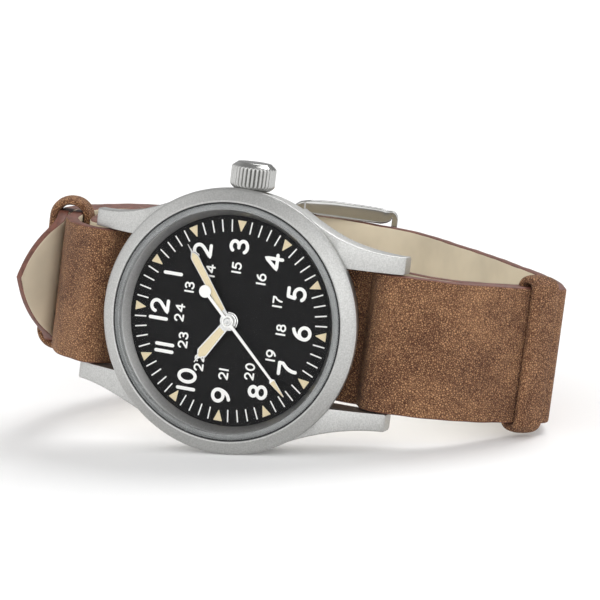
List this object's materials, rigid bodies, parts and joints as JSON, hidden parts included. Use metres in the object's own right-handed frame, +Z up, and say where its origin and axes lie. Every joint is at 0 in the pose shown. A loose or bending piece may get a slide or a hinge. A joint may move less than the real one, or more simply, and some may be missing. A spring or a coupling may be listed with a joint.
{
  "type": "field watch",
  "caption": "Hand-wound field watch with lugged steel case, crown, domed crystal and a two-layer leather strap buckled in a loop with two keepers.",
  "frame": {"origin": "centre of the bounding box in plan, on the surface that the watch lies on", "axes": "+Z up from the surface; +X from 12 o'clock towards 6 o'clock, level; +Y from the dial into the strap's loop; the crown points up, leaning with the watch as it rests on its bezel, the fixed keeper and the buckle"},
  "size_m": [0.0822, 0.0738, 0.0416],
  "materials": {
    "blasted_steel": "bead-blasted satin",
    "polished_steel": "polished",
    "crystal": "clear, polished",
    "seal": "smooth",
    "rehaut": "polished",
    "dial_black": "matte",
    "hand_steel": "polished",
    "hand_paint": "satin",
    "plate_brass": "nickel-rinsed, grained",
    "wheel_brass": "polished",
    "hard_steel": "polished edges",
    "blued_spring": "blued",
    "ruby": "polished",
    "holder": "moulded",
    "strap_nubuck": "nubuck outside, lined",
    "strap_lining": "smooth"
  },
  "bodies": {
    "case": {"mid_case": "blasted_steel", "bezel": "blasted_steel", "crystal": "crystal", "crystal_gasket": "seal", "rehaut_ring": "rehaut", "dial": "dial_black", "case_back": "blasted_steel", "case_back_gasket": "seal", "crown_tube": "hard_steel", "spring_bars": "hard_steel", "strap_main": "strap_nubuck", "strap_under": "strap_lining", "keeper_fixed": "strap_nubuck", "buckle_frame": "polished_steel", "buckle_bar": "hard_steel", "movement_ring": "holder", "main_plate": "plate_brass", "barrel_bridge": "plate_brass", "train_bridge": "plate_brass", "balance_cock": "plate_brass", "pallet_cock": "plate_brass", "yoke": "hard_steel", "jewels": "ruby", "bridge_screws": "hard_steel", "case_clamps": "hard_steel"},
    "seconds": {"seconds_hand": "hand_paint", "fourth_wheel": "wheel_brass"},
    "minutes": {"minute_hand": "hand_steel", "cannon_pinion": "hard_steel", "centre_wheel": "wheel_brass"},
    "hours": {"hour_hand": "hand_steel", "hour_wheel": "wheel_brass"},
    "third": {"third_wheel": "wheel_brass"},
    "escape": {"escape_wheel": "hard_steel"},
    "minute_work": {"minute_wheel": "wheel_brass"},
    "barrel": {"mainspring_barrel": "wheel_brass", "barrel_cover": "wheel_brass", "mainspring": "hard_steel"},
    "pallets": {"pallet_fork": "hard_steel"},
    "balance": {"balance_wheel": "wheel_brass", "hairspring": "blued_spring"},
    "crown_slide": {"crown_gasket": "seal"},
    "crown": {"crown": "blasted_steel", "winding_stem": "hard_steel"},
    "winding_pinions": {"winding_pinion": "hard_steel", "sliding_pinion": "hard_steel"},
    "crown_wheel": {"crown_wheel": "hard_steel"},
    "ratchet": {"ratchet_wheel": "hard_steel", "barrel_arbor": "hard_steel"},
    "setting_lever": {"setting_lever": "hard_steel"},
    "click": {"click": "hard_steel"},
    "buckle_tongue": {"buckle_tongue": "polished_steel"},
    "keeper_free": {"keeper_free": "strap_nubuck"}
  },
  "joints": [
    {"name": "seconds_turn", "type": "hinge", "parent": "case", "child": "seconds", "pos_m": [-0.00323, -0.03342, 0.01895], "axis": [-0.0117, 0.9967, -0.0804], "continuous": true},
    {"name": "minute_turn", "type": "hinge", "parent": "case", "child": "minutes", "pos_m": [-0.00323, -0.03342, 0.01895], "axis": [-0.0117, 0.9967, -0.0804], "continuous": true},
    {"name": "hour_turn", "type": "hinge", "parent": "case", "child": "hours", "pos_m": [-0.00323, -0.03342, 0.01895], "axis": [-0.0117, 0.9967, -0.0804], "continuous": true},
    {"name": "third_turn", "type": "hinge", "parent": "case", "child": "third", "pos_m": [-0.00094, -0.03363, 0.016], "axis": [-0.0117, 0.9967, -0.0804], "continuous": true},
    {"name": "escape_turn", "type": "hinge", "parent": "case", "child": "escape", "pos_m": [0.00064, -0.03334, 0.0194], "axis": [-0.0117, 0.9967, -0.0804], "continuous": true},
    {"name": "minute_wheel_turn", "type": "hinge", "parent": "case", "child": "minute_work", "pos_m": [-0.00482, -0.0336, 0.01694], "axis": [-0.0117, 0.9967, -0.0804], "continuous": true},
    {"name": "barrel_turn", "type": "hinge", "parent": "case", "child": "barrel", "pos_m": [-0.00953, -0.03332, 0.02107], "axis": [-0.0117, 0.9967, -0.0804], "continuous": true},
    {"name": "pallet_swing", "type": "hinge", "parent": "case", "child": "pallets", "pos_m": [0.00289, -0.03318, 0.02096], "axis": [-0.0117, 0.9967, -0.0804], "range_deg": [-5, 5]},
    {"name": "balance_swing", "type": "hinge", "parent": "case", "child": "balance", "pos_m": [0.00495, -0.03304, 0.02239], "axis": [-0.0117, 0.9967, -0.0804], "range_deg": [-270, 270]},
    {"name": "crown_pull", "type": "slide", "parent": "case", "child": "crown_slide", "axis": [0.1433, 0.0813, 0.9863], "range_m": [0, 0.001]},
    {"name": "crown_turn", "type": "hinge", "parent": "crown_slide", "child": "crown", "pos_m": [-0.00052, -0.02957, 0.03765], "axis": [0.1433, 0.0813, 0.9863], "continuous": true},
    {"name": "winding_pinion_turn", "type": "hinge", "parent": "case", "child": "winding_pinions", "pos_m": [-0.00215, -0.0305, 0.02641], "axis": [0.1433, 0.0813, 0.9863], "continuous": true},
    {"name": "crown_wheel_turn", "type": "hinge", "parent": "case", "child": "crown_wheel", "pos_m": [-0.00249, -0.033, 0.02408], "axis": [-0.0117, 0.9967, -0.0804], "continuous": true},
    {"name": "ratchet_turn", "type": "hinge", "parent": "case", "child": "ratchet", "pos_m": [-0.00953, -0.03332, 0.02107], "axis": [-0.0117, 0.9967, -0.0804], "continuous": true},
    {"name": "setting_lever_swing", "type": "hinge", "parent": "case", "child": "setting_lever", "pos_m": [0.00158, -0.03265, 0.02776], "axis": [-0.0117, 0.9967, -0.0804], "range_deg": [0, 18.6]},
    {"name": "click_lift", "type": "hinge", "parent": "case", "child": "click", "pos_m": [-0.01292, -0.03371, 0.01678], "axis": [0.0117, -0.9967, 0.0804], "range_deg": [0, 5]},
    {"name": "tongue_lift", "type": "hinge", "parent": "case", "child": "buckle_tongue", "pos_m": [-0.01536, 0.03067, 0.01543], "axis": [0.1433, 0.0813, 0.9863], "range_deg": [0, 4]},
    {"name": "keeper_slide", "type": "slide", "parent": "case", "child": "keeper_free", "axis": [-0.2454, 0.9684, -0.0441], "range_m": [-0.0008, 0.001]}
  ],
  "couplings": [
    {"joint": "minute_turn", "follows": "seconds_turn", "ratio": 0.016667},
    {"joint": "hour_turn", "follows": "seconds_turn", "ratio": 0.0013889},
    {"joint": "third_turn", "follows": "seconds_turn", "ratio": -0.125},
    {"joint": "escape_turn", "follows": "seconds_turn", "ratio": -9},
    {"joint": "minute_wheel_turn", "follows": "seconds_turn", "ratio": -0.0055556},
    {"joint": "barrel_turn", "follows": "seconds_turn", "ratio": -0.0027778},
    {"joint": "winding_pinion_turn", "follows": "crown_turn", "ratio": 1},
    {"joint": "crown_wheel_turn", "follows": "crown_turn", "ratio": -0.5},
    {"joint": "ratchet_turn", "follows": "crown_turn", "ratio": 0.33333},
    {"joint": "setting_lever_swing", "follows": "crown_pull", "rad_per_m": 323.9}
  ]
}
